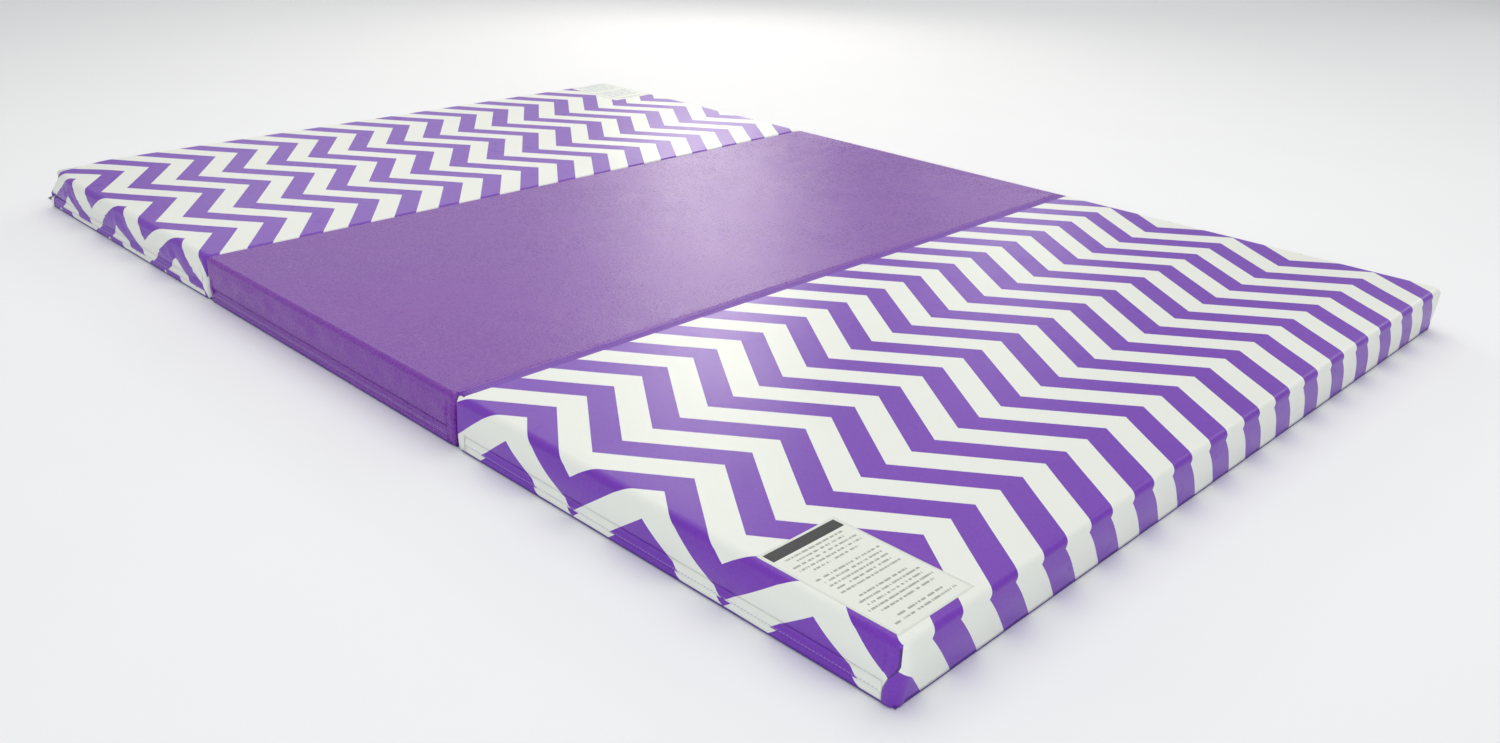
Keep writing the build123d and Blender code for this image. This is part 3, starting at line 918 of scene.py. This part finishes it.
def pile_material():
    made, wire, place = begin("loop_pile")
    tangle = place.mottle(620.0, 5.0, distortion=2.5)
    curls = wire.node("TexVoronoi", links={"Vector": place, "Scale": 900.0}, out="Distance")
    height = tangle * 0.7 + curls * 0.6
    tone = height.blend((0.008, 0.008, 0.009, 1), (0.045, 0.045, 0.050, 1))
    return shade(made, {"Base Color": tone, "Roughness": height.fade(0.2, 0.9, 0.98, 0.8),
                        "Normal": height.bump(1.0, 0.0005), "Sheen Weight": 0.6, "Sheen Roughness": 0.4})


low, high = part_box("hook_flap")
lip = 0.00035
backing_outline = [(low.x, low.z + lip), (low.x + lip, low.z), (high.x - lip, low.z),
                   (high.x, low.z + lip), (high.x, high.z - lip), (high.x - lip, high.z),
                   (low.x + 0.004, high.z), (low.x + 0.0030, high.z - 0.00025),
                   (low.x + 0.0015, high.z), (low.x + lip, high.z - 0.0001)]
backing_ends = rounded_end((high.x - low.x) / 2, 0.004)
backing = mesh_piece("hook_backing", *band(backing_outline, low.y, high.y, ends=backing_ends),
                     black_webbing)
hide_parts("hook_flap")
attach(backing, "hook_strip")

low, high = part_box("hook_tape")
tape_ends = rounded_end((high.x - low.x) / 2, 0.002)
tape_outline = ribbed(low, high, ribs=26, height=0.0004)
tape = mesh_piece("hook_tape_hooks", *band(tape_outline, low.y, high.y, ends=tape_ends), hook_finish)
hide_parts("hook_tape")
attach(tape, "hook_strip")
seam_rows = []
for x in (low.x + 0.0022, high.x - 0.0022):
    path = [(x, low.y + 0.004, high.z - 0.0003), (x, high.y - 0.004, high.z - 0.0003)]
    seam_rows.append(beads(path, pitch=0.0045, length=0.0032, side=0.0003, rise=0.00025))
sewn("hook_tape_stitches", seam_rows, black_thread, "hook_strip")

tail_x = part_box("left_bottom_cover")[0].x
flap_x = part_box("hook_flap")[1].x
bend_xs = np.linspace(flap_x - 0.003, tail_x + 0.004, 15)
hook_outline = [(x, 0.00092) for x in bend_xs] + [(x, 0.00012) for x in bend_xs[::-1]]
hook_web = mesh_piece("hook_web", *band(hook_outline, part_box("hook_flap")[0].y + 0.0004,
                                        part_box("hook_flap")[1].y - 0.0004), black_webbing)
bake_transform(hook_web)

xs = np.linspace(loop_low.x, loop_high.x, 26)
ys = np.linspace(loop_low.y, loop_high.y, 240)
pile = mesh_piece("loop_strip_pile", *slab(
    xs, ys, lambda gx, gy: np.full(gx.shape, 0.0012),
    lambda gx, gy: 0.0001 + 0.00016 * (1 + swell(gx, gy, 0.006, 91.0).reshape(gx.shape))),
    pile_material())
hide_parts("loop_strip")
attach(pile, "right_panel")


# ------------------------------ labels
# Two soft white vinyl labels are sewn flat on the printed top, one at the near right corner with a
# dark heading bar, one at the far left corner. Their small print is only rows of plain grey marks.

def label_material(name, heading, ink, pitch, rows_high, length):
    """White label: a heading bar, then centred rows of marks in paragraphs, by its own map."""
    made, wire, place = begin(name)
    spot = wire.node("UVMap", {"uv_map": "label"})
    down = spot.part("X")
    across = spot.part("Y")
    line = (down - heading[1] - 0.004) * (1 / pitch)
    row = line.math("FLOOR")
    in_row = (line.math("FRACT") < rows_high) * (line > 0.0) * (down < length)
    width = wire.node("TexWhiteNoise", {"noise_dimensions": "1D"}, {"W": row}, "Value") * 0.30 + 0.66
    paragraph = (row * (1 / 6) + 0.17).math("FRACT") > 0.16
    marks = wire.node("TexNoise", {"noise_dimensions": "2D"},
                      {"Vector": wire.node("CombineXYZ", links={0: across * 10.5, 1: row * 3.7}),
                       "Scale": 42.0, "Detail": 1.0})
    written = in_row * paragraph * (across.math("ABSOLUTE") * 22.5 < width) * (marks > 0.43)
    bar = (down > heading[0]) * (down < heading[1]) * (across.math("ABSOLUTE") < 0.046)
    dust = place.mottle(1500.0, 2.0)
    cloud = place.mottle(22.0, 4.0)
    paper = (dust * 0.4 + cloud * 0.6).blend((0.78, 0.80, 0.72, 1), (0.87, 0.89, 0.81, 1))
    colour = bar.blend((written * 0.75).blend(paper, (*ink, 1)), (0.018, 0.018, 0.022, 1))
    height = dust + written * 0.3
    bump = height.bump(0.35, 0.00008)
    return shade(made, {"Base Color": colour, "Roughness": 0.38 + 0.12 * cloud, "Normal": bump})


white_thread = thread("white_thread", (0.85, 0.86, 0.82), sheen=0.3)
label_rise = 0.00022       # above the cover, so that the label's face lies clear of it
label_depth = 0.0006
label_seam_inset = 0.0022


def label_piece(node, panel, material, name, body):
    low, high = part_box(node)
    cover_low, cover_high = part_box(f"{panel}_top_cover")
    west, east, long_side = cover_edges[panel]

    def surface(gx, gy):
        past_x = np.maximum(np.maximum(cover_low.x + west - gx, gx - cover_high.x + east), 0)
        past_y = np.maximum(np.maximum(cover_low.y + long_side - gy, gy - cover_high.y + long_side), 0)
        dip = top_dip(panel, gx, gy, cover_low, cover_high).reshape(gx.shape)
        for past, roll in ((past_x, max(west, east)), (past_y, long_side)):
            dip = dip + roll * (1 - np.sqrt(1 - (past / roll) ** 2)) ** edge_shape
        return cover_high.z - dip + label_rise

    xs = np.linspace(low.x, high.x, 60)
    ys = np.linspace(low.y, high.y, 40)
    points, faces = slab(xs, ys, surface, lambda gx, gy: surface(gx, gy) - label_depth)
    spot = np.stack([points[:, 0] - low.x, points[:, 1] - (low.y + high.y) / 2], 1)
    made = mesh_piece(name, points, faces, material, {"label": spot})
    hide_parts(node)
    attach(made, body)
    x0, x1 = low.x + label_seam_inset, high.x - label_seam_inset
    y0, y1 = low.y + label_seam_inset, high.y - label_seam_inset
    rows = []
    for ax, ay, bx, by in ((x0, y0, x1, y0), (x1, y0, x1, y1), (x1, y1, x0, y1), (x0, y1, x0, y0)):
        px, py = np.linspace(ax, bx, 60), np.linspace(ay, by, 60)
        path = np.stack([px, py, surface(px, py)], 1)
        rows.append(beads(path, pitch=0.0040, length=0.0028, side=0.00026, rise=0.00014))
    sewn(f"{name}_stitches", rows, white_thread, body)


label_piece("safety_label", "right",
            label_material("safety_print", (0.003, 0.0165), (0.25, 0.25, 0.23), 0.0064, 0.38, 0.146),
            "safety_patch", "right_panel")
label_piece("corner_label", "left",
            label_material("corner_print", (0.004, 0.0042), (0.38, 0.42, 0.52), 0.0110, 0.50, 0.146),
            "corner_patch", "left_panel")
